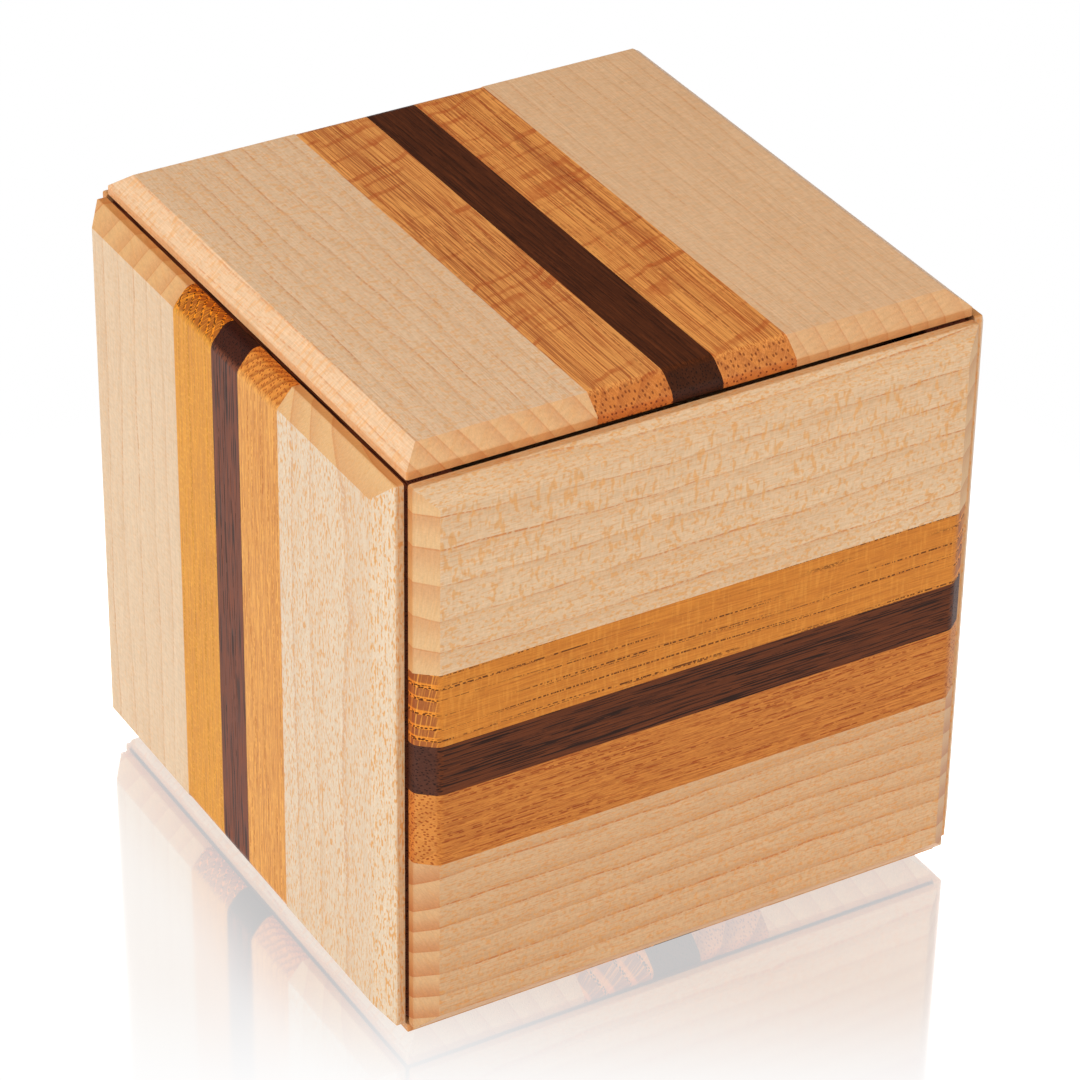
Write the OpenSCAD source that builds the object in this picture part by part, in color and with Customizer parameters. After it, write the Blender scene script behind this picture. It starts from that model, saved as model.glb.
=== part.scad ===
// Cube-shaped wooden puzzle box. Six striped panels cover a plain core box.
// The front and back panels slide together, the side panels lift, a key bar
// follows the back panel, and the top panel slides open on a hidden carrier.
// Origin: centre of the underside. +Z up, front panel towards -Y.

/* [Box] */
// Side of the closed cube
cube_side = 78; // [74:1:90]
// Distance from each cube plane to the edges of the neighbouring panels
panel_inset = 3.2; // [3.1:0.1:3.6]
// Thickness of the striped panels
panel_thick = 2.9; // [2.6:0.1:2.9]
// Slip gap between a moving panel and the core
slip = 0.15; // [0.1:0.05:0.2]

/* [Panel edges] */
// Width of the bevel round each panel
bevel_width = 2.3; // [1.5:0.1:2.8]
// Depth of the bevel round each panel
bevel_depth = 1.9; // [1.2:0.1:2.1]
// Plan radius of the panel corners
corner_radius = 0.3; // [0.3:0.1:1]

/* [Stripes] */
// Width of the middle walnut strip
walnut_width = 6.4; // [5.6:0.2:8]
// Width of each coloured strip beside the walnut
accent_width = 9.4; // [8:0.2:11]

/* [Core] */
// Thickness of the core walls
wall_thick = 6; // [6:0.5:7]
// Thickness of the core floor and of the inner floor
floor_thick = 2.5; // [2:0.5:3]
// Thickness of the lining boards
lining_thick = 1.5; // [1:0.5:2]
// Chamfer along the outer edges of the core
core_ease = 1.2; // [0.8:0.2:1.6]

/* [Motion] */
// Travel of the side, front and back panels
panel_travel = 6; // [4:0.5:6]
// Travel of the top panel
lid_travel = 51; // [46:1:54]
// Rise of the key bar for each millimetre of back panel travel
key_ratio = 0.25; // [0.15:0.05:0.25]

/* [Buttons] */
// Radius of the guide button stems
stem_radius = 2; // [1.6:0.1:2.2]
// Radius of the guide button heads
head_radius = 4; // [3.4:0.2:4.4]
// Distance of the guide buttons from the panel centre
button_reach = 18; // [16:1:20]

/* [Hidden] */
$fn = 48;

maple = "#E9CFA6";
zelkova = "#E2A04C";
cherry = "#CE8440";
walnut = "#5E3B2B";
core_wood = "#6E4A33";
lining_wood = "#C9A36B";
button_wood = "#B98A55";

// panels
half = cube_side / 2;
panel_side = cube_side - 2 * panel_inset;
maple_width = (panel_side - walnut_width - 2 * accent_width) / 2;
strip_widths = [maple_width, accent_width, walnut_width, accent_width, maple_width];
function strip_start(i) = i == 0 ? -panel_side / 2 : strip_start(i - 1) + strip_widths[i - 1];
panel_back = half - panel_thick;

// core box
core_half = panel_back - slip;
core_bottom = panel_thick;
core_top = cube_side - panel_thick - slip;
cavity_half = core_half - wall_thick;
inner_floor_z = core_bottom + floor_thick + 3.6;
lining_bottom = inner_floor_z + floor_thick;
fit = 0.1;
gap = 0.3;

// lid carrier and the grooves that guide it
carrier_front = lid_travel - panel_back + 0.7;
carrier_back = cavity_half - 0.35;
tongue_reach = 2.35;
groove_depth = 2.5;
groove_bottom = core_top - 4.35;
groove_height = 2.5;
carrier_bottom = groove_bottom + 0.15;
tongue_height = groove_height - 0.3;
ledge_top = groove_bottom - 0.15;
lining_top = ledge_top - 0.25;

// latch blocks on the side panels
latch_length = 4.2;
latch_height = 5;
latch_back = carrier_front - gap;
latch_reach = wall_thick - 1.2;
latch_rest_top = groove_bottom + 2.1 - panel_travel;

// tie bar that joins the front and back panels
tie_width = 10;
tie_height = 3;
tie_bottom = core_bottom + floor_thick + gap;

// key bar and its peg
key_thick = 2.5;
key_width = 13;
key_height = 14;
key_centre = 19;
key_top = core_top - 0.2;
key_bottom = key_top - 21;
tongue_width = 6;
peg_radius = 1.5;
peg_height = key_bottom + 6.5;
peg_start = key_centre - panel_travel / 2;
key_front = cavity_half + slip;
key_pocket_depth = 1.4;
key_rise = key_ratio * panel_travel;

// guide buttons
head_thick = 2.2;
head_pocket = 2.8;
stem_socket = 1.2;

// A panel lies with its outer face up: stripes across X, grain along Y.
module bevel_profile() {
    edge = panel_side / 2;
    polygon([
        [-edge, 0],
        [edge, 0],
        [edge, panel_thick - bevel_depth],
        [edge - bevel_width, panel_thick],
        [bevel_width - edge, panel_thick],
        [-edge, panel_thick - bevel_depth]
    ]);
}

module rounded_plan() {
    reach = panel_side / 2 - corner_radius;
    square([panel_side, 2 * reach], center = true);
    square([2 * reach, panel_side], center = true);
    for (x = [-reach, reach], y = [-reach, reach])
        translate([x, y])
            circle(corner_radius);
}

module panel_blank() {
    intersection() {
        linear_extrude(panel_thick)
            rounded_plan();
        rotate([90, 0, 0])
            linear_extrude(panel_side, center = true)
                bevel_profile();
        rotate([90, 0, 90])
            linear_extrude(panel_side, center = true)
                bevel_profile();
    }
}

module strip(i) {
    intersection() {
        panel_blank();
        translate([strip_start(i), -half, 0])
            cube([strip_widths[i], cube_side, panel_thick]);
    }
}

// The walnut strip holds the two guide button stems of its panel.
module socketed_strip() {
    difference() {
        strip(2);
        for (y = [-button_reach, button_reach])
            translate([0, y, -1])
                cylinder(h = stem_socket + 1, r = stem_radius);
    }
}

// Each of these puts a panel on its face of the cube.
module on_top() {
    translate([0, 0, cube_side - panel_thick])
        children();
}

module on_bottom() {
    translate([0, 0, panel_thick])
        rotate([0, 180, 0])
            children();
}

module on_front() {
    translate([0, -panel_back, half])
        rotate([0, 90, -90])
            children();
}

module on_back() {
    translate([0, panel_back, half])
        rotate([0, -90, -90])
            children();
}

module on_left() {
    translate([-panel_back, 0, half])
        rotate([90, 0, -90])
            children();
}

module on_right() {
    translate([panel_back, 0, half])
        rotate([90, 0, 90])
            children();
}

// Two turned buttons whose stems pass through a slotted wall.
module guide_buttons() {
    for (y = [-button_reach, button_reach])
        translate([0, y, 0]) {
            translate([0, 0, -slip - wall_thick + head_pocket - gap])
                cylinder(h = slip + wall_thick - head_pocket + gap + stem_socket, r = stem_radius);
            translate([0, 0, -slip - wall_thick + head_pocket - gap - head_thick])
                cylinder(h = head_thick, r = head_radius);
        }
}

// Outline of a slot with round ends, along +X.
module slot_outline(radius, length) {
    circle(radius);
    translate([length, 0])
        circle(radius);
    translate([0, -radius])
        square([length, 2 * radius]);
}

// A slot along +Y that gives a round piece the travel of its panel.
module travel_slot(radius, depth) {
    linear_extrude(depth)
        rotate(90)
            translate([-fit, 0])
                slot_outline(radius, panel_travel + 2 * fit);
}

// The cuts for one panel's buttons, in the panel's own position.
module button_slots() {
    for (y = [-button_reach, button_reach])
        translate([0, y, -slip - wall_thick]) {
            translate([0, 0, -1])
                travel_slot(head_radius + gap, head_pocket + 1);
            translate([0, 0, head_pocket - 1])
                travel_slot(stem_radius + fit, wall_thick);
        }
}

// A rectangle with its corners cut off at 45 degrees.
module eased_outline(width, low, high) {
    polygon([
        [core_ease - width, low],
        [width - core_ease, low],
        [width, low + core_ease],
        [width, high - core_ease],
        [width - core_ease, high],
        [core_ease - width, high],
        [-width, high - core_ease],
        [-width, low + core_ease]
    ]);
}

// The outer shape of the core, with all its edges eased.
module core_block() {
    intersection() {
        translate([0, 0, core_bottom])
            linear_extrude(core_top - core_bottom)
                eased_outline(core_half, -core_half, core_half);
        upright(-core_half, 2 * core_half)
            eased_outline(core_half, core_bottom, core_top);
        rotate([0, 0, 90])
            upright(-core_half, 2 * core_half)
                eased_outline(core_half, core_bottom, core_top);
    }
}

// Left wall of the core, with the carrier groove and the latch pocket.
module side_wall() {
    difference() {
        intersection() {
            core_block();
            translate([-core_half, -core_half, core_bottom])
                cube([wall_thick, 2 * core_half, core_top - core_bottom]);
        }
        translate([-cavity_half - groove_depth, -core_half - 1, groove_bottom])
            cube([groove_depth + 1, core_half + 1 + carrier_back + gap, groove_height]);
        translate([-core_half - 1, latch_back - latch_length - gap, latch_rest_top - latch_height - gap])
            cube([
                latch_reach + gap + 1,
                latch_length + 2 * gap,
                groove_bottom + groove_height - latch_rest_top + latch_height + gap
            ]);
        on_left()
            button_slots();
    }
}

// End wall of the core, from one side wall to the other, on the -Y side.
module end_wall(top) {
    intersection() {
        core_block();
        translate([-cavity_half, -core_half, core_bottom])
            cube([2 * cavity_half, wall_thick, top - core_bottom]);
    }
}

// The way that the tie bar takes through both end walls.
module tie_slot() {
    translate([-tie_width / 2 - gap, -core_half - 1, core_bottom + floor_thick])
        cube([tie_width + panel_travel + 2 * gap, 2 * core_half + 2, inner_floor_z - core_bottom - floor_thick]);
}

// The block glued to a side panel; it rises into the carrier groove.
module latch_block() {
    translate([-panel_back, latch_back - latch_length, latch_rest_top - latch_height])
        cube([slip + latch_reach, latch_length, latch_height]);
}

// Outline of the key bar seen from the back wall: a plate with a narrow tongue.
module key_outline(clearance) {
    translate([key_centre - key_width / 2 - clearance, key_bottom - clearance])
        square([key_width + 2 * clearance, key_height + 2 * clearance]);
    translate([key_centre - tongue_width / 2 - clearance, key_bottom])
        square([tongue_width + 2 * clearance, key_top - key_bottom + clearance]);
}

// The sloping slot of the key bar falls towards +X, so the peg lifts the bar.
module key_slot() {
    slope = atan(key_ratio);
    translate([peg_start, peg_height])
        rotate(-slope)
            translate([-fit, 0])
                slot_outline(peg_radius + fit, panel_travel / cos(slope) + 2 * fit);
}

// Stands an outline up, from y to y + thick.
module upright(y, thick) {
    translate([0, y + thick, 0])
        rotate([90, 0, 0])
            linear_extrude(thick)
                children();
}

// Top panel
module top_maple_left() { color(maple) on_top() strip(0); }
module top_cherry() { color(cherry) on_top() strip(1); }
module top_walnut() { color(walnut) on_top() strip(2); }
module top_zelkova() { color(zelkova) on_top() strip(3); }

module top_maple_right() {
    color(maple)
        difference() {
            on_top()
                strip(4);
            translate([
                key_centre - tongue_width / 2 - gap,
                key_front - gap,
                cube_side - panel_thick - 1
            ])
                cube([tongue_width + 2 * gap, key_thick + 2 * gap, key_pocket_depth + 1]);
        }
}

// Front panel
module front_maple_upper() { color(maple) on_front() strip(0); }
module front_zelkova() { color(zelkova) on_front() strip(1); }
module front_walnut() { color(walnut) on_front() socketed_strip(); }
module front_cherry() { color(cherry) on_front() strip(3); }
module front_maple_lower() { color(maple) on_front() strip(4); }

// Left panel
module left_maple_back() { color(maple) on_left() strip(0); }
module left_zelkova() { color(zelkova) on_left() strip(1); }
module left_walnut() { color(walnut) on_left() socketed_strip(); }
module left_cherry() { color(cherry) on_left() strip(3); }
module left_maple_front() { color(maple) on_left() strip(4); }

// Right panel
module right_maple_front() { color(maple) on_right() strip(0); }
module right_zelkova() { color(zelkova) on_right() strip(1); }
module right_walnut() { color(walnut) on_right() socketed_strip(); }
module right_cherry() { color(cherry) on_right() strip(3); }
module right_maple_back() { color(maple) on_right() strip(4); }

// Back panel
module back_maple_lower() { color(maple) on_back() strip(0); }
module back_zelkova() { color(zelkova) on_back() strip(1); }
module back_walnut() { color(walnut) on_back() socketed_strip(); }
module back_cherry() { color(cherry) on_back() strip(3); }
module back_maple_upper() { color(maple) on_back() strip(4); }

// Bottom panel
module bottom_maple_right() { color(maple) on_bottom() strip(0); }
module bottom_cherry() { color(cherry) on_bottom() strip(1); }
module bottom_walnut() { color(walnut) on_bottom() strip(2); }
module bottom_zelkova() { color(zelkova) on_bottom() strip(3); }
module bottom_maple_left() { color(maple) on_bottom() strip(4); }

// Core box
module core_left_wall() { color(core_wood) side_wall(); }

module core_right_wall() {
    color(core_wood)
        mirror([1, 0, 0])
            side_wall();
}

module core_front_wall() {
    color(core_wood)
        difference() {
            end_wall(ledge_top);
            tie_slot();
            on_front()
                button_slots();
        }
}

module core_back_wall() {
    color(core_wood)
        difference() {
            rotate([0, 0, 180])
                end_wall(core_top);
            tie_slot();
            on_back()
                button_slots();
            upright(cavity_half - 1, key_thick + 1 + slip + gap) {
                key_outline(fit + slip);
                translate([0, key_rise + fit])
                    key_outline(fit + slip);
            }
            upright(cavity_half, wall_thick + 1)
                translate([peg_start - fit, peg_height])
                    slot_outline(peg_radius + fit, panel_travel + 2 * fit);
        }
}

module core_floor() {
    color(core_wood)
        translate([-cavity_half, -cavity_half, core_bottom])
            cube([2 * cavity_half, 2 * cavity_half, floor_thick]);
}

module inner_floor() {
    color(lining_wood)
        translate([-cavity_half, -cavity_half, inner_floor_z])
            cube([2 * cavity_half, 2 * cavity_half, floor_thick]);
}

module floor_cleats() {
    width = 6;
    color(core_wood)
        for (side = [-1, 1])
            translate([side * (cavity_half - width / 2) - width / 2, -cavity_half, core_bottom + floor_thick])
                cube([width, 2 * cavity_half, inner_floor_z - core_bottom - floor_thick]);
}

module lining_left() {
    color(lining_wood)
        translate([-cavity_half, -cavity_half, lining_bottom])
            cube([lining_thick, 2 * cavity_half, lining_top - lining_bottom]);
}

module lining_right() {
    color(lining_wood)
        translate([cavity_half - lining_thick, -cavity_half, lining_bottom])
            cube([lining_thick, 2 * cavity_half, lining_top - lining_bottom]);
}

module lining_front() {
    color(lining_wood)
        translate([lining_thick - cavity_half, -cavity_half, lining_bottom])
            cube([2 * (cavity_half - lining_thick), lining_thick, lining_top - lining_bottom]);
}

module lining_back() {
    color(lining_wood)
        translate([lining_thick - cavity_half, cavity_half - lining_thick, lining_bottom])
            cube([2 * (cavity_half - lining_thick), lining_thick, lining_top - lining_bottom]);
}

// Moving pieces under the panels
module lid_carrier() {
    color(core_wood)
        translate([0, carrier_front, 0]) {
            translate([gap - cavity_half, 0, carrier_bottom])
                cube([
                    2 * (cavity_half - gap),
                    carrier_back - carrier_front,
                    cube_side - panel_thick - carrier_bottom
                ]);
            translate([-cavity_half - tongue_reach, 0, carrier_bottom])
                cube([2 * (cavity_half + tongue_reach), carrier_back - carrier_front, tongue_height]);
        }
}

module tie_bar() {
    color(core_wood)
        translate([-tie_width / 2, -panel_back, tie_bottom])
            cube([tie_width, 2 * panel_back, tie_height]);
}

module key_peg() {
    color(button_wood)
        upright(key_front, panel_back - key_front)
            translate([peg_start, peg_height])
                circle(peg_radius);
}

module key_bar() {
    color(button_wood)
        upright(key_front, key_thick)
            difference() {
                key_outline(0);
                key_slot();
            }
}

module front_buttons() { color(button_wood) on_front() guide_buttons(); }
module back_buttons() { color(button_wood) on_back() guide_buttons(); }
module left_buttons() { color(button_wood) on_left() guide_buttons(); }
module right_buttons() { color(button_wood) on_right() guide_buttons(); }
module left_latch() { color(button_wood) latch_block(); }

module right_latch() {
    color(button_wood)
        mirror([1, 0, 0])
            latch_block();
}

top_maple_left();
top_cherry();
top_walnut();
top_zelkova();
top_maple_right();
front_maple_upper();
front_zelkova();
front_walnut();
front_cherry();
front_maple_lower();
left_maple_back();
left_zelkova();
left_walnut();
left_cherry();
left_maple_front();
right_maple_front();
right_zelkova();
right_walnut();
right_cherry();
right_maple_back();
back_maple_lower();
back_zelkova();
back_walnut();
back_cherry();
back_maple_upper();
bottom_maple_right();
bottom_cherry();
bottom_walnut();
bottom_zelkova();
bottom_maple_left();
core_left_wall();
core_right_wall();
core_front_wall();
core_back_wall();
core_floor();
inner_floor();
floor_cleats();
lining_left();
lining_right();
lining_front();
lining_back();
lid_carrier();
tie_bar();
key_peg();
key_bar();
front_buttons();
back_buttons();
left_buttons();
right_buttons();
left_latch();
right_latch();
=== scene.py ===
"""Wooden puzzle box: wood, softened panel edges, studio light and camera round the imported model."""

import math

import bpy
from mathutils import Matrix, Vector


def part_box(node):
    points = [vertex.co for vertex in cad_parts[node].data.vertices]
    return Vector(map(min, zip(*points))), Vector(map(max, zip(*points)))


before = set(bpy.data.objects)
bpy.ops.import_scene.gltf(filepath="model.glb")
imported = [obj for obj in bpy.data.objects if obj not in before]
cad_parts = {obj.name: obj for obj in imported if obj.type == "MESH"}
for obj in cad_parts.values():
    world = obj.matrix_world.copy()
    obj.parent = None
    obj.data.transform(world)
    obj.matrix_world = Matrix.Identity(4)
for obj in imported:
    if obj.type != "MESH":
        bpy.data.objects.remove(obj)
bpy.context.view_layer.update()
scene = bpy.context.scene

MM = 1000  # millimetres in a metre


def srgb(r, g, b):
    """A display colour, 0 to 255 a channel, as linear light with alpha."""
    return tuple(
        c / 255 / 12.92 if c <= 10 else ((c / 255 + 0.055) / 1.055) ** 2.4
        for c in (r, g, b)
    ) + (1.0,)


class Graph:
    """Short calls for building a node tree. A value may be a number, a tuple or a socket."""

    def __init__(self, tree):
        self.tree = tree

    def node(self, kind, inputs=(), **settings):
        made = self.tree.nodes.new(kind)
        for key, value in settings.items():
            setattr(made, key, value)
        for key, value in dict(inputs).items():
            self.put(made.inputs[key], value)
        return made

    def put(self, socket, value):
        if isinstance(value, bpy.types.NodeSocket):
            self.tree.links.new(value, socket)
        else:
            socket.default_value = value

    def math(self, operation, *values):
        return self.node("ShaderNodeMath", enumerate(values), operation=operation).outputs[0]

    def add(self, a, b):
        return self.math("ADD", a, b)

    def sub(self, a, b):
        return self.math("SUBTRACT", a, b)

    def mul(self, a, b):
        return self.math("MULTIPLY", a, b)

    def vec(self, operation, a, b):
        return self.node(
            "ShaderNodeVectorMath", {0: a, 1: b}, operation=operation
        ).outputs[0]

    def split(self, vector):
        return self.node("ShaderNodeSeparateXYZ", {0: vector}).outputs[:3]

    def join(self, x, y, z):
        return self.node("ShaderNodeCombineXYZ", {0: x, 1: y, 2: z}).outputs[0]

    def noise(self, vector, size, detail=1.0, rough=0.5, out="Fac"):
        """Noise whose features are size long on each axis."""
        scaled = self.vec("DIVIDE", vector, size)
        return self.node(
            "ShaderNodeTexNoise",
            {"Vector": scaled, "Scale": 1.0, "Detail": detail, "Roughness": rough},
        ).outputs[out]

    def tubes(self, across, spacing, jitter):
        """Millimetres to the nearest of scattered lines along the grain, and that line's number."""
        scaled = self.vec("DIVIDE", across, (spacing,) * 3)
        made = self.node(
            "ShaderNodeTexVoronoi",
            {"Vector": scaled, "Scale": 1.0, "Randomness": jitter},
            voronoi_dimensions="2D",
        )
        number = self.split(made.outputs["Color"])[0]
        return self.mul(made.outputs["Distance"], spacing), number

    def rise(self, value, low, high):
        """0 below low and 1 above high, smooth between. Low may be above high."""
        return self.node(
            "ShaderNodeMapRange",
            {"Value": value, "From Min": low, "From Max": high},
            interpolation_type="SMOOTHSTEP",
        ).outputs["Result"]

    def mix(self, factor, a, b, blend="MIX"):
        """Colour a turned into b by factor. Sockets 6 and 7 and output 2 are the colour ones."""
        return self.node(
            "ShaderNodeMix",
            {0: factor, 6: a, 7: b},
            data_type="RGBA",
            blend_type=blend,
            clamp_factor=True,
        ).outputs[2]


# Sizes are in millimetres: along the grain, radial, tangential. A range is the noise level at
# which a mark starts to show and the level at which it is full. A bare name, such as pore or
# dash, is how strongly that mark colours the wood.
BASE = dict(
    waver=0.25, mottle=0.5, rough=0.42,
    ring_tone=0.3, ring_power=3.0, line=0.5, line_width=0.3, line_dash=9,
    ray=0.8, ray_size=(0.75, 4, 0.24), ray_range=(0.56, 0.64),
    pore=0.0, pore_end=0.0, pore_spacing=0.5, pore_radius=0.1, pore_length=5, pore_jitter=1.0,
    pore_band=0.0,
    dash=0.15, dash_size=(2.0, 0.24, 0.24), dash_range=(0.56, 0.7), dash_zone=0.0,
    fibre=0.06, fibre_size=(5, 0.16, 0.16), fibre_tone=1.2, weave=0.1, curl=0.0,
    end_tint=(0.96, 0.86, 0.70, 1), end_line=0.35, end_ray=0.2,
    late=0.3, late_from=0.1, late_to=1.0,
)
SPECIES = {
    "maple": dict(
        light=srgb(230, 193, 152), dark=srgb(214, 166, 120), line_colour=srgb(206, 128, 74),
        ray_colour=srgb(226, 158, 86), pore_colour=srgb(190, 130, 80),
        dash_colour=srgb(222, 150, 84), late_colour=srgb(208, 142, 92),
        line=0.8, line_dash=14,
        ray=0.65, ray_size=(0.58, 2.1, 0.26), ray_range=(0.55, 0.66),
        dash=0.35, dash_size=(0.9, 0.2, 0.2), dash_range=(0.53, 0.66),
        fibre=0.05, fibre_tone=0.6, weave=0.06,
        end_line=0.5, late=0.45,
    ),
    "zelkova": dict(
        light=srgb(212, 138, 58), dark=srgb(196, 118, 46), line_colour=srgb(150, 84, 34),
        ray_colour=srgb(232, 164, 78), pore_colour=srgb(78, 36, 10),
        dash_colour=srgb(160, 92, 34), late_colour=srgb(122, 66, 50),
        line=0.1, line_width=0.4,
        ray=0.3, ray_size=(0.4, 8, 0.4), ray_range=(0.5, 0.7),
        pore=0.9, pore_end=1.0, pore_spacing=0.28, pore_radius=0.14, pore_length=0.32,
        pore_band=0.42,
        dash=0.25, fibre=0.08, fibre_tone=2.0, weave=0.04,
        end_tint=(1.0, 0.95, 0.8, 1), end_line=0.0, end_ray=0.55,
        late=0.8, late_from=0.3, late_to=0.42,
    ),
    "cherry": dict(
        light=srgb(212, 138, 72), dark=srgb(186, 106, 50), line_colour=srgb(160, 86, 40),
        ray_colour=srgb(230, 162, 90), pore_colour=srgb(146, 58, 18),
        dash_colour=srgb(166, 78, 28), late_colour=srgb(150, 78, 36),
        line=0.2,
        ray=0.3, ray_size=(0.9, 3, 0.25), ray_range=(0.6, 0.75),
        pore=0.75, pore_end=0.9, pore_spacing=0.4, pore_radius=0.11, pore_length=0.9,
        dash=0.65, dash_size=(1.6, 0.16, 0.16), dash_range=(0.54, 0.66),
        fibre=0.1, fibre_tone=2.2, weave=0.05,
        end_tint=(0.98, 0.88, 0.78, 1), late=0.7, late_from=0.35, late_to=0.9,
    ),
    # the two accent strips of the top panel
    "curly": dict(
        light=srgb(226, 158, 78), dark=srgb(186, 98, 42), line_colour=srgb(150, 78, 36),
        ray_colour=srgb(236, 164, 84), pore_colour=srgb(110, 44, 18),
        dash_colour=srgb(150, 70, 32), late_colour=srgb(150, 78, 48),
        line=0.3, line_dash=30,
        ray=0.2, ray_size=(0.9, 4, 0.3),
        pore=0.3, pore_end=0.8, pore_spacing=0.62, pore_radius=0.15, pore_length=1.2,
        pore_jitter=0.6,
        dash=0.7, dash_size=(16, 0.2, 0.2), dash_range=(0.48, 0.62), dash_zone=2.4,
        fibre=0.16, fibre_size=(9, 0.15, 0.15), fibre_tone=4.0, weave=0.02, curl=1.0,
        end_tint=(0.98, 0.86, 0.74, 1), end_line=0.1, end_ray=0.45,
    ),
    "walnut": dict(
        light=srgb(98, 54, 36), dark=srgb(74, 38, 24), line_colour=srgb(48, 24, 15),
        ray_colour=srgb(110, 66, 46), pore_colour=srgb(18, 8, 5),
        dash_colour=srgb(24, 10, 6), late_colour=srgb(60, 34, 26),
        rough=0.4, ray=0.1,
        pore=0.7, pore_end=0.75, pore_spacing=0.36, pore_radius=0.09, pore_length=2.5,
        dash=0.85, dash_size=(8, 0.22, 0.22), dash_range=(0.55, 0.61),
        fibre=0.12, fibre_tone=2.5, weave=0.04,
        end_tint=(0.84, 0.82, 0.82, 1),
    ),
}


def wood_group(name, spec):
    """A solid wood. Place is in millimetres, grain on X and the heart of the tree at the origin."""
    s = {**BASE, **spec}
    tree = bpy.data.node_groups.new("wood_" + name, "ShaderNodeTree")
    tree.interface.new_socket("Place", in_out="INPUT", socket_type="NodeSocketVector")
    for label, default in (
        ("End", 0.0), ("Ring", 3.0), ("Rings", 1.0), ("Rays", 1.0), ("Marks", 1.0), ("Depth", 0.0),
    ):
        socket = tree.interface.new_socket(label, in_out="INPUT", socket_type="NodeSocketFloat")
        socket.default_value = default
    for label in ("Face", "Cut"):
        socket = tree.interface.new_socket(label, in_out="INPUT", socket_type="NodeSocketColor")
        socket.default_value = (1, 1, 1, 1)
    for label, kind in (("Colour", "Color"), ("Roughness", "Float"), ("Height", "Float")):
        tree.interface.new_socket(label, in_out="OUTPUT", socket_type="NodeSocket" + kind)
    g = Graph(tree)
    place, end, ring, rings, rays, marks, depth, face_tone_and_painted_light, cut_tone_and_painted_light = g.node(
        "NodeGroupInput"
    ).outputs[:9]

    # slow waver of the whole stem, then distance and angle round the heart
    sway = g.vec("SUBTRACT", g.noise(place, (80, 30, 30), out="Color"), (0.5, 0.5, 0.5))
    bent = g.vec("ADD", place, g.vec("MULTIPLY", sway, (0, 8 * s["waver"], 8 * s["waver"])))
    x, y, z = g.split(bent)
    radius = g.math("SQRT", g.add(g.mul(y, y), g.mul(z, z)))
    around = g.mul(g.math("ARCTAN2", z, y), 60.0)
    polar = g.join(x, radius, around)

    # growth rings: uneven widths, a thin dark line where each ends
    uneven = g.noise(g.join(g.mul(x, 0.02), g.math("DIVIDE", radius, ring), 0.0), (1, 2.4, 1))
    wobble = g.noise(g.join(x, radius, g.mul(around, 0.3)), (5, 3, 3))
    phase = g.add(g.math("DIVIDE", radius, ring), g.add(uneven, g.mul(wobble, 0.16)))
    across = g.math("FRACT", phase)
    count = g.math("FLOOR", phase)
    from_line = g.mul(g.sub(1.0, across), ring)
    tone = g.mul(g.math("POWER", across, s["ring_power"]), s["ring_tone"])
    line = g.mul(g.rise(from_line, s["line_width"], 0.08), g.rise(from_line, 0.0, 0.05))
    own = g.join(x, g.mul(count, 17.3), 0.0)
    broken = g.noise(own, (s["line_dash"], 1, 1), detail=3.0, rough=0.7)
    line = g.mul(line, g.rise(broken, 0.3, 0.7))

    # rays, pores, dashes, fibres and slow colour changes
    ray = g.rise(g.noise(polar, s["ray_size"]), *s["ray_range"])
    distance, number = g.tubes(g.join(y, z, 0.0), s["pore_spacing"], s["pore_jitter"])
    hole = g.rise(distance, s["pore_radius"], 0.6 * s["pore_radius"])
    if s["pore_band"]:
        band = g.rise(g.mul(across, ring), s["pore_band"] + 0.1, s["pore_band"] - 0.1)
        hole = g.mul(hole, band)
    span = g.join(g.add(x, g.mul(number, 900.0)), g.mul(number, 60.0), 0.0)
    pore = g.mul(hole, g.rise(g.noise(span, (s["pore_length"], 1, 1)), 0.44, 0.52))
    pore = g.mul(pore, g.rise(g.noise(bent, (12, 2, 2)), 0.28, 0.5))
    dash = g.rise(g.noise(bent, s["dash_size"]), *s["dash_range"])
    if s["dash_zone"]:
        zone = g.noise(bent, (90, s["dash_zone"], s["dash_zone"]))
        dash = g.mul(dash, g.rise(zone, 0.48, 0.62))
    fibre = g.sub(g.noise(bent, s["fibre_size"], detail=2.0), 0.5)
    weave = g.sub(g.noise(polar, (0.3, 1.2, 0.24)), 0.5)
    mottle = g.mul(g.sub(g.noise(bent, (30, 9, 9), detail=2.0), 0.5), s["mottle"])
    blend = g.add(g.add(g.mul(tone, rings), mottle), g.add(depth, 0.25))
    if s["curl"]:
        warp = g.mul(g.noise(place, (9, 3.5, 3.5)), 2.2)
        slant = g.join(g.add(g.add(x, warp), g.mul(y, 0.3)), y, z)
        wave = g.rise(g.noise(slant, (1.5, 40, 40), detail=0.0), 0.54, 0.68)
        wave = g.mul(wave, g.rise(g.noise(slant, (3, 3.5, 3.5)), 0.3, 0.55))
        blend = g.add(blend, g.mul(wave, 0.5 * s["curl"]))
        fibre = g.mul(fibre, g.sub(1.0, g.mul(wave, 0.7)))
    blend = g.sub(blend, g.mul(fibre, s["fibre_tone"]))

    colour = g.mix(blend, s["light"], s["dark"])
    dotted = g.mul(line, g.rise(g.noise(bent, (0.45, 0.4, 0.4)), 0.36, 0.56))
    colour = g.mix(g.mul(g.mul(dotted, rings), s["line"]), colour, s["line_colour"])
    colour = g.mix(g.mul(g.mul(ray, rays), s["ray"]), colour, s["ray_colour"])
    colour = g.mix(g.mul(g.mul(dash, marks), s["dash"]), colour, s["dash_colour"])
    colour = g.mix(g.mul(g.mul(pore, marks), s["pore"]), colour, s["pore_colour"])
    shade = g.add(g.mul(fibre, 4 * s["fibre"]), g.add(1.0, g.mul(weave, 4 * s["weave"])))

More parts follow.
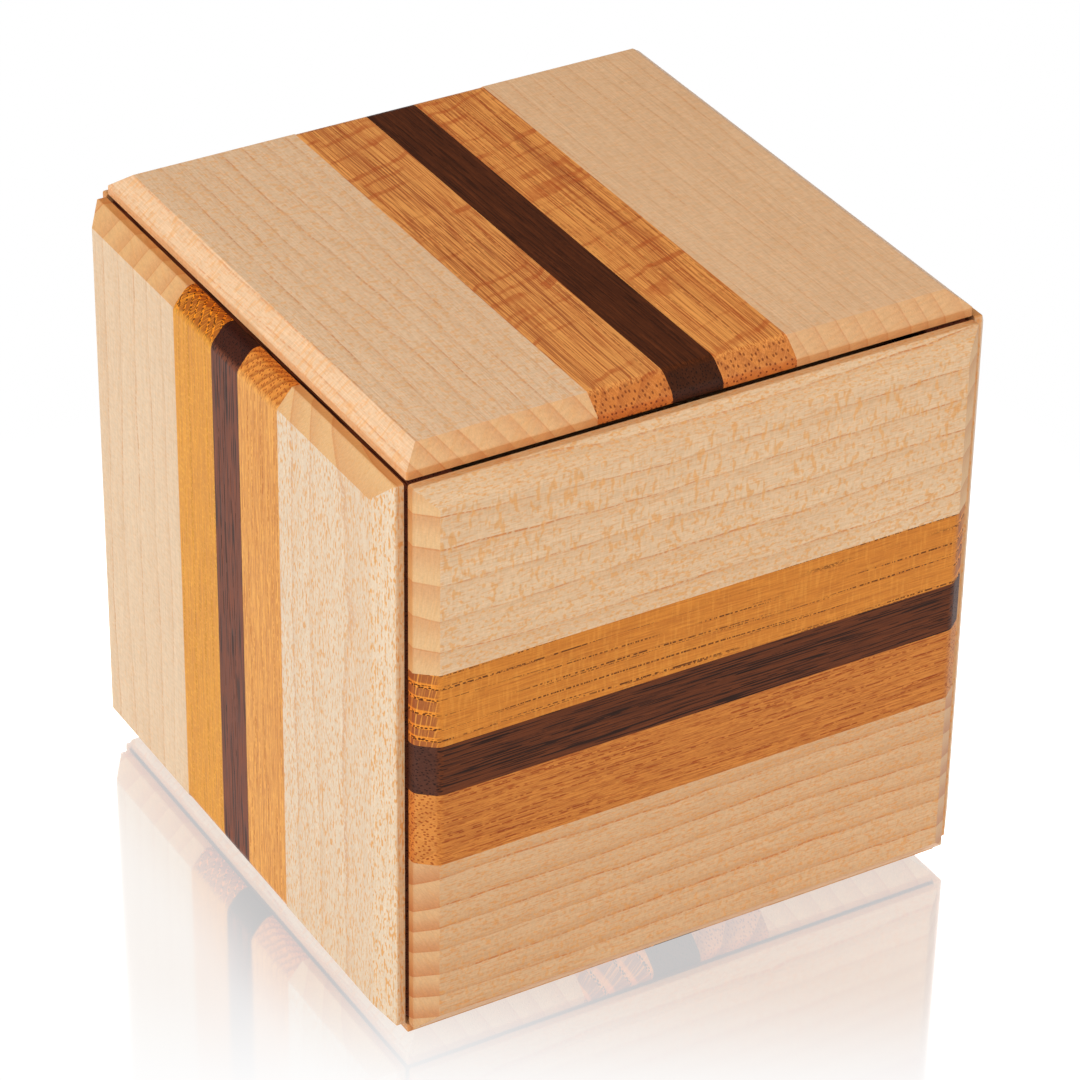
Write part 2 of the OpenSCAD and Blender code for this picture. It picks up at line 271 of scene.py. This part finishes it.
    # the same wood cut across: bands of late growth, spokes, open pores
    cut = g.mix(1.0, g.mix(mottle, s["light"], s["dark"]), s["end_tint"], "MULTIPLY")
    late = g.mul(g.rise(across, s["late_from"], s["late_to"]), s["late"])
    cut = g.mix(g.mul(late, rings), cut, s["late_colour"])
    cut = g.mix(g.mul(line, s["end_line"]), cut, s["line_colour"])
    spoke = g.rise(g.noise(g.join(x, radius, around), (3, 9, 0.15)), 0.52, 0.64)
    cut = g.mix(g.mul(spoke, s["end_ray"]), cut, s["ray_colour"])
    cut = g.mix(g.mul(hole, s["pore_end"]), cut, s["pore_colour"])
    colour = g.mix(
        end, g.mix(1.0, colour, face_tone_and_painted_light, "MULTIPLY"), g.mix(1.0, cut, cut_tone_and_painted_light, "MULTIPLY")
    )
    colour = g.mix(1.0, colour, g.join(shade, shade, shade), "MULTIPLY")

    rough = g.add(g.mul(fibre, 0.25), g.add(s["rough"], g.mul(end, 0.08)))
    rough = g.add(rough, g.mul(pore, 0.15))
    height = g.sub(g.mul(fibre, 0.6), g.add(g.mul(pore, 0.8), g.mul(dash, 0.25)))
    g.node("NodeGroupOutput", {"Colour": colour, "Roughness": rough, "Height": height})
    return tree


GROUPS = {name: wood_group(name, spec) for name, spec in SPECIES.items()}

# Turns that lay the grain on X
TURN = {"x": (0, 0, 0), "y": (0, 0, -math.pi / 2), "z": (0, math.pi / 2, 0)}

# Painted shade on the square edge of a panel: it is darkened browner than its face from this far
# below the face, in metres
EDGE_SHADE_TINT = (0.92, 0.74, 0.57, 1)
EDGE_FROM, EDGE_FULL = 0.0017, 0.0021


def wood_material(name, species, grain, heart, values, outward=None):
    """Wood of one board. Heart is a point on the line of the tree's heart, in millimetres.

    Outward is the direction a panel's face looks in, and how far out the face is, in metres. Below
    that face the square edge gets painted shade.
    """
    material = bpy.data.materials.new(name)
    material.use_nodes = True
    g = Graph(material.node_tree)
    shader = material.node_tree.nodes["Principled BSDF"]
    spot = g.node("ShaderNodeTexCoord").outputs
    turn = Matrix.Identity(3)
    for axis, angle in zip("XYZ", TURN[grain]):
        turn = Matrix.Rotation(angle, 3, axis) @ turn
    place = g.node(
        "ShaderNodeMapping",
        {
            "Vector": spot["Object"], "Scale": (MM, MM, MM),
            "Rotation": TURN[grain], "Location": -(turn @ Vector(heart)),
        },
    ).outputs[0]
    facing = g.math("ABSOLUTE", g.split(spot["Normal"])["xyz".index(grain)])
    end = g.rise(facing, 0.2, 0.75)
    wood = g.node("ShaderNodeGroup", node_tree=GROUPS[species])
    g.put(wood.inputs["Place"], place)
    g.put(wood.inputs["End"], end)
    for key, value in values.items():
        wood.inputs[key].default_value = value
    colour = wood.outputs["Colour"]
    if outward:
        out, level = outward
        reach = g.node(
            "ShaderNodeVectorMath", {0: spot["Object"], 1: out}, operation="DOT_PRODUCT"
        ).outputs["Value"]
        # painted shade: darkens the square edge below the face, towards the seam
        edge_shade = g.rise(g.sub(level, reach), EDGE_FROM, EDGE_FULL)
        colour = g.mix(edge_shade, colour, g.mix(1.0, colour, EDGE_SHADE_TINT, "MULTIPLY"))
    bump = g.node(
        "ShaderNodeBump",
        {"Height": wood.outputs["Height"], "Strength": 0.35, "Distance": 0.00006},
    )
    g.put(shader.inputs["Base Color"], colour)
    g.put(shader.inputs["Roughness"], wood.outputs["Roughness"])
    g.put(shader.inputs["Normal"], bump.outputs[0])
    shader.inputs["IOR"].default_value = 1.45
    shader.inputs["Specular IOR Level"].default_value = 0.15
    return material


# Outward direction, direction from the first strip to the last, grain
FACES = {
    "top": ((0, 0, 1), (1, 0, 0), "y"),
    "front": ((0, -1, 0), (0, 0, -1), "x"),
    "left": ((-1, 0, 0), (0, -1, 0), "z"),
    "right": ((1, 0, 0), (0, 1, 0), "z"),
    "back": ((0, 1, 0), (0, 0, 1), "x"),
    "bottom": ((0, 0, -1), (-1, 0, 0), "y"),
}

# Species, heart (across the strip, out of the face, place along the grain), values,
# then the tone of the strip's faces along the grain and of its cut ends. These tones are partly each
# board's own colour and partly painted light: the left face's strips carry a painted sheen that makes
# them brighter and paler, and the front's lowest maple strip a painted shade.
STRIPS = {
    "top_maple_left": (
        "maple", (-86, -64, 11), {"Ring": 2.2, "Rays": 0.6, "Marks": 0.9},
        (1.084, 1.101, 1.165), (0.95, 0.892, 0.854),
    ),
    "top_cherry": (
        "curly", (30, -40, 23), {"Ring": 1.7},
        (1.065, 0.996, 1.15), (0.786, 0.616, 0.631),
    ),
    "top_walnut": (
        "walnut", (-30, -25, 31), {"Depth": 0.6, "Marks": 0.5},
        (1.167, 0.969, 0.546), (0.504, 0.439, 0.3),
    ),
    "top_zelkova": (
        "curly", (-34, -36, 47), {"Ring": 1.7},
        (1.074, 0.979, 1.065), (0.834, 0.715, 0.818),
    ),
    "top_maple_right": (
        "maple", (-70, -14, 59), {"Ring": 2.5, "Rings": 0.6, "Rays": 0.2, "Marks": 0.5},
        (1.062, 1.01, 0.986), (0.924, 0.873, 0.867),
    ),
    "front_maple_upper": (
        "maple", (30, -3.5, 61), {"Ring": 4.0, "Rings": 1.5, "Marks": 1.3},
        (0.933, 0.968, 1.008), (0.901, 0.935, 0.954),
    ),
    "front_zelkova": (
        "zelkova", (50, -6, 67), {"Ring": 1.8},
        (0.941, 0.849, 0.661), (1.125, 1.0, 0.758),
    ),
    "front_walnut": (
        "walnut", (20, -34, 71), {},
        (1.041, 0.803, 0.356), (0.789, 0.869, 1.06),
    ),
    "front_cherry": (
        "cherry", (-24, -40, 83), {"Ring": 2.6, "Rings": 0.3},
        (0.883, 0.799, 0.549), (0.964, 1.019, 0.9),
    ),
    # this strip's darker tones are partly painted shade, darker towards the bottom of the front
    "front_maple_lower": (
        "maple", (-40, -20, 97),
        {"Ring": 2.9, "Rings": 2.2, "Rays": 0.8, "Depth": 0.3, "Marks": 1.5},
        (0.888, 0.861, 0.831), (0.815, 0.792, 0.807),
    ),
    # the left face's tones below hold a painted sheen as well as each board's own colour
    "left_maple_back": (
        "maple", (-66, -20, 101), {"Ring": 3.6, "Rays": 0.2, "Marks": 0.5},
        (0.934, 1.046, 1.194), (0.908, 0.828, 0.689),
    ),
    "left_zelkova": (
        "zelkova", (40, -40, 113), {"Ring": 1.0, "Marks": 0.2},
        (1.062, 1.17, 0.731), (1.204, 0.925, 0.3),
    ),
    "left_walnut": (
        "walnut", (20, -44, 127), {},
        (1.547, 1.251, 0.902), (0.419, 0.3, 0.3),
    ),
    "left_cherry": (
        "cherry", (-30, -30, 131), {"Ring": 0.9, "Marks": 0.6},
        (1.16, 1.411, 1.194), (1.048, 1.032, 0.71),
    ),
    "left_maple_front": (
        "maple", (9, -24, 139), {"Ring": 2.6, "Rays": 0.6, "Marks": 3.2},
        (0.936, 1.141, 1.447), (0.921, 0.886, 0.793),
    ),
}
# The same for the strips of the other three faces, by kind of wood
OTHER = {
    "maple": ((58, -30), (0.95, 0.99, 1.04), (0.9, 0.87, 0.84)),
    "zelkova": ((44, -22), (0.94, 0.85, 0.66), (1.12, 1.0, 0.76)),
    "cherry": ((-30, -36), (0.9, 0.86, 0.64), (0.96, 1.0, 0.9)),
    "walnut": ((20, -34), (1.04, 0.81, 0.4), (0.79, 0.87, 1.0)),
}


def strip_material(node):
    """Wood of one strip, whose heart is placed from the middle of the strip's shown face."""
    face, kind = node.split("_")[:2]
    out, step, grain = (Vector(v) if isinstance(v, tuple) else v for v in FACES[face])
    low, high = (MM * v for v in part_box(node))
    middle = (low + high) / 2
    outside = middle + out * abs((high - low).dot(out)) / 2
    if node in STRIPS:
        species, (side, lift, along), values, face_tone_and_painted_light, cut_tone_and_painted_light = STRIPS[node]
    else:
        species, values, along = kind, {}, 150 + 13 * sum(map(ord, node)) % 400
        (side, lift), face_tone_and_painted_light, cut_tone_and_painted_light = OTHER[kind]
    values = {**values, "Face": (*face_tone_and_painted_light, 1), "Cut": (*cut_tone_and_painted_light, 1)}
    heart = outside + step * side + out * lift
    heart["xyz".index(grain)] += 7 * along
    outward = (tuple(out), outside.dot(out) / MM)
    return wood_material("wood_" + node, species, grain, heart, values, outward)


# Grain of each piece inside
INNER = {
    "core_left_wall": "y", "core_right_wall": "y", "core_front_wall": "x", "core_back_wall": "x",
    "core_floor": "y", "inner_floor": "y", "floor_cleats": "y", "lining_left": "y",
    "lining_right": "y", "lining_front": "x", "lining_back": "x", "lid_carrier": "y",
    "tie_bar": "y", "key_peg": "y", "key_bar": "z", "front_buttons": "y", "back_buttons": "y",
    "left_buttons": "x", "right_buttons": "x", "left_latch": "z", "right_latch": "z",
}
INNER_HEART = Vector((-47, 38, -52))
# The core is walnut so that the seams between the panels, where it shows, are dark: a dark core that
# paints shade into the seams. This tone lightens that walnut.
CORE_TONE = (1.9, 1.5, 1.2, 1)


def inner_material(node):
    low, high = (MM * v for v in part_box(node))
    heart = (low + high) / 2 + INNER_HEART
    species, values = "cherry", {}
    if node.startswith("lining") or node == "inner_floor":
        species = "maple"
    # walnut core: painted shade in the seams where it shows
    elif node.startswith("core") or node in ("lid_carrier", "tie_bar", "floor_cleats"):
        species, values = "walnut", {"Face": CORE_TONE, "Cut": CORE_TONE}
    return wood_material("wood_" + node, species, INNER[node], heart, values)


# Angles between faces, in radians, that a bevel's two edges lie within
BEVEL_LEAST, BEVEL_MOST = 0.3, 1.2
# Widths of the softened edges, in metres
SOFT_STRIP, SOFT_INNER = 0.0006, 0.0002


def shown_edges(node, out):
    """Marks the edges round the bevel of a strip, so that glued strips stay flush."""
    mesh = node.data
    place = [tuple(round(c * 1e6) for c in v.co) for v in mesh.vertices]
    beside = {}
    for polygon in mesh.polygons:
        for key in polygon.edge_keys:
            beside.setdefault(frozenset(place[v] for v in key), []).append(polygon.normal)
    weights = mesh.attributes.new("bevel_weight_edge", "FLOAT", "EDGE")
    for edge in mesh.edges:
        normals = beside[frozenset(place[v] for v in edge.vertices)]
        if len(normals) == 2 and BEVEL_LEAST < normals[0].angle(normals[1]) < BEVEL_MOST:
            if min(n.dot(out) for n in normals) > -0.1:
                weights.data[edge.index].value = 1.0


def soften(node, width, limit):
    """Rounds a piece's edges: merged and flattened first, so that flat faces shade flat."""
    weld = node.modifiers.new("weld", "WELD")
    weld.merge_threshold = 1e-6
    flat = node.modifiers.new("flat", "DECIMATE")
    flat.decimate_type = "DISSOLVE"
    flat.angle_limit = math.radians(1)
    bevel = node.modifiers.new("soft_edge", "BEVEL")
    bevel.limit_method = limit
    bevel.angle_limit = math.radians(35)
    bevel.width = width
    bevel.segments = 3
    split = node.modifiers.new("corners", "EDGE_SPLIT")
    split.split_angle = math.radians(31)
    node.modifiers.new("shading", "WEIGHTED_NORMAL")


for name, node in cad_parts.items():
    node.data.materials.clear()
    if name in INNER:
        node.data.materials.append(inner_material(name))
        soften(node, SOFT_INNER, "ANGLE")
    else:
        node.data.materials.append(strip_material(name))
        shown_edges(node, Vector(FACES[name.split("_")[0]][0]))
        soften(node, SOFT_STRIP, "WEIGHT")

# Camera
AZIMUTH, ELEVATION, ROLL = (math.radians(v) for v in (-30.63, 32.68, 0.9))
TARGET = Vector((0.0007, -0.0017, 0.0373))
DISTANCE = 0.5507
LENS, SENSOR = 156.6, 36
back = Vector((
    math.sin(AZIMUTH) * math.cos(ELEVATION),
    -math.cos(AZIMUTH) * math.cos(ELEVATION),
    math.sin(ELEVATION),
))
camera = bpy.data.objects.new("camera", bpy.data.cameras.new("camera"))
scene.collection.objects.link(camera)
camera.data.lens = LENS
camera.data.sensor_width = SENSOR
camera.data.clip_start = 0.01
camera.location = TARGET + back * DISTANCE
camera.rotation_mode = "QUATERNION"
tilt = Matrix.Rotation(ROLL, 4, "Z").to_quaternion()
camera.rotation_quaternion = (-back).to_track_quat("-Z", "Y") @ tilt
scene.camera = camera

# Floor: white, with a reflection that fades away from the box and is fainter on its left
FLOOR = 3  # from the middle to a side, in metres
SHINE, SHINE_LOSS_LEFT = 0.45, 0.24
floor_mesh = bpy.data.meshes.new("floor")
corners = [(-FLOOR, -FLOOR, 0), (FLOOR, -FLOOR, 0), (FLOOR, FLOOR, 0), (-FLOOR, FLOOR, 0)]
floor_mesh.from_pydata(corners, [], [(0, 1, 2, 3)])
floor = bpy.data.objects.new("floor", floor_mesh)
scene.collection.objects.link(floor)
floor_paint = bpy.data.materials.new("floor")
floor_paint.use_nodes = True
g = Graph(floor_paint.node_tree)
floor_paint.node_tree.nodes.clear()
fx, fy, _ = g.split(g.node("ShaderNodeTexCoord").outputs["Object"])
half = 0.036  # a little under half the box
dx = g.math("MAXIMUM", g.sub(g.math("ABSOLUTE", fx), half), 0.0)
dy = g.math("MAXIMUM", g.sub(g.math("ABSOLUTE", fy), half), 0.0)
away = g.math("SQRT", g.add(g.mul(dx, dx), g.mul(dy, dy)))
near = g.sub(g.mul(fx, -0.51), g.mul(fy, 0.86))
fade = g.mul(g.rise(away, 0.07, 0.01), g.rise(near, 0.064, 0.034))
share = g.mul(fade, g.sub(SHINE, g.mul(g.rise(fx, -0.038, -0.05), SHINE_LOSS_LEFT)))
white = g.node("ShaderNodeEmission", {"Color": (1, 1, 1, 1), "Strength": 1.0})
gloss = g.node("ShaderNodeBsdfGlossy", {"Color": (1, 1, 1, 1), "Roughness": 0.08})
blend = g.node("ShaderNodeMixShader", {0: share, 1: white.outputs[0], 2: gloss.outputs[0]})
g.node("ShaderNodeOutputMaterial", {0: blend.outputs[0]})
floor_mesh.materials.append(floor_paint)

# Light
world = bpy.data.worlds.new("studio")
world.use_nodes = True
sky = world.node_tree.nodes["Background"]
sky.inputs["Color"].default_value = (1, 1, 1, 1)
sky.inputs["Strength"].default_value = 0.15
scene.world = world
AIM = Vector((0, 0, 0.04))


def softbox(name, spot, size, power):
    """A white panel of light, in metres and watts, turned towards the box."""
    lamp = bpy.data.lights.new(name, "AREA")
    lamp.shape = "RECTANGLE"
    lamp.size, lamp.size_y = size
    lamp.energy = power
    made = bpy.data.objects.new(name, lamp)
    scene.collection.objects.link(made)
    made.location = spot
    made.rotation_mode = "QUATERNION"
    made.rotation_quaternion = (AIM - Vector(spot)).to_track_quat("-Z", "Y")
    return made


softbox("light_left", (-1.3, 0.1, 0.5), (1.0, 0.9), 9)
softbox("light_front", (0.6, -1.25, 0.5), (1.0, 0.9), 5.5)
softbox("light_top", (-0.5, -0.6, 1.25), (1.1, 1.1), 14)
# this one lights the floor only
card = softbox("light_card", (0.75, 1.25, 0.95), (2.4, 2.0), 48)
receivers = bpy.data.collections.new("card_receivers")
receivers.objects.link(floor)
card.light_linking.receiver_collection = receivers

scene.view_settings.view_transform = "Standard"
